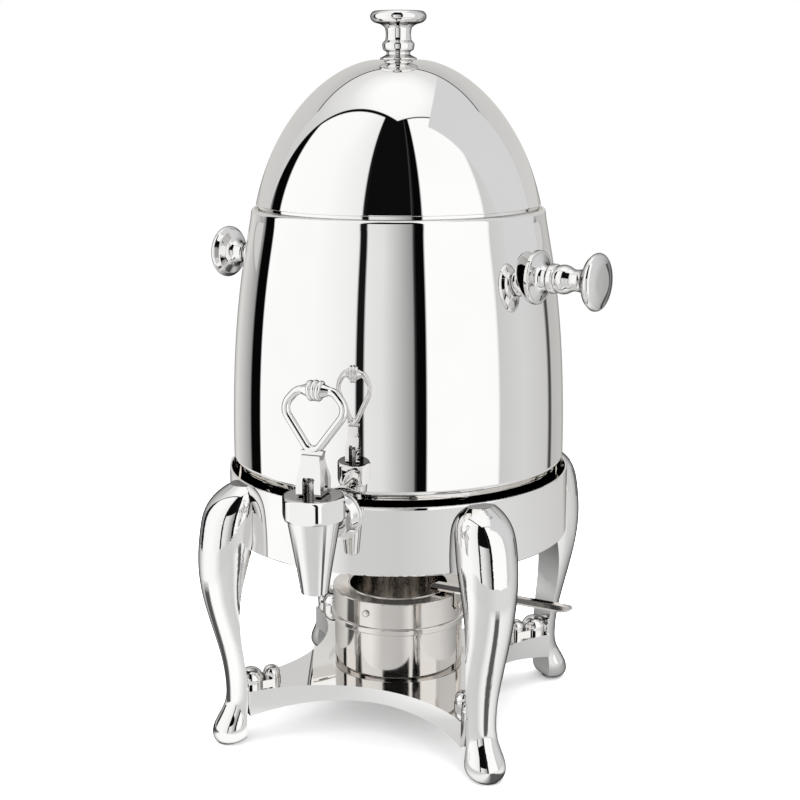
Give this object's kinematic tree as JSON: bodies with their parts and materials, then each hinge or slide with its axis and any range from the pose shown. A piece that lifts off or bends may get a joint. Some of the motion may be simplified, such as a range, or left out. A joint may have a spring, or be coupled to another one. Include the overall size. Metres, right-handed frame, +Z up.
{
  "type": "coffee urn",
  "caption": "Polished coffee urn: domed lift-off lid, side knobs and a lever tap on a vessel that stands in a ring on cast legs over a fuel burner.",
  "frame": {"origin": "on the floor plane of the feet, under the vessel's axis", "axes": "+Z up along the vessel's axis, the tap points to -Y, +X to the right of somebody facing the tap"},
  "size_m": [0.3248, 0.3153, 0.5249],
  "materials": {
    "polished_steel": "mirror polished",
    "polished_casting": "mirror polished casting",
    "burner_steel": "bright",
    "black_rubber": "matt",
    "fastener_steel": "satin"
  },
  "bodies": {
    "stand": {"stand_ring": "polished_steel", "leg_front_right": "polished_casting", "leg_back_right": "polished_casting", "leg_back_left": "polished_casting", "leg_front_left": "polished_casting", "foot_pads": "black_rubber", "leg_screws": "fastener_steel", "base_plate": "polished_steel", "base_screws": "fastener_steel", "base_cap_nuts": "polished_casting"},
    "urn": {"urn_body": "polished_steel", "urn_floor": "polished_steel", "side_knob_right": "polished_casting", "side_knob_left": "polished_casting", "side_knob_washers": "black_rubber", "side_knob_nuts": "fastener_steel", "tap_body": "polished_casting", "tap_bonnet": "polished_casting", "tap_escutcheon": "polished_steel", "tap_shank_nut": "polished_casting", "tap_spacer": "fastener_steel", "tap_seal_washers": "black_rubber", "tap_inner_nut": "fastener_steel"},
    "lid": {"lid_dome": "polished_steel", "lid_inner_collar": "polished_steel", "lid_knob": "polished_casting", "lid_knob_washer": "black_rubber", "lid_knob_nut": "fastener_steel"},
    "tap_valve": {"tap_stem": "fastener_steel", "tap_seat_plug": "black_rubber"},
    "tap_lever": {"tap_handle": "polished_casting", "tap_handle_pin": "fastener_steel"},
    "burner": {"burner_can": "burner_steel"},
    "burner_top": {"burner_cap": "burner_steel", "burner_handle": "burner_steel", "burner_rivets": "burner_steel"}
  },
  "joints": [
    {"name": "urn_lift", "type": "slide", "parent": "stand", "child": "urn", "axis": [0, 0, 1], "range_m": [0, 0.08]},
    {"name": "lid_lift", "type": "slide", "parent": "urn", "child": "lid", "axis": [0, 0, 1], "range_m": [0, 0.12]},
    {"name": "tap_stem_lift", "type": "slide", "parent": "urn", "child": "tap_valve", "axis": [0, 0, 1], "range_m": [0, 0.0033]},
    {"name": "tap_handle_pull", "type": "hinge", "parent": "tap_valve", "child": "tap_lever", "pos_m": [0, -0.17, 0.2239], "axis": [1, 0, 0], "range_deg": [0, 40]},
    {"name": "burner_lift", "type": "slide", "parent": "stand", "child": "burner", "axis": [0, 0, 1], "range_m": [0, 0.012]},
    {"name": "burner_cap_lift", "type": "slide", "parent": "burner", "child": "burner_top", "axis": [0, 0, 1], "range_m": [0, 0.03]}
  ],
  "couplings": [
    {"joint": "tap_stem_lift", "follows": "tap_handle_pull", "m_per_rad": 0.0046}
  ]
}
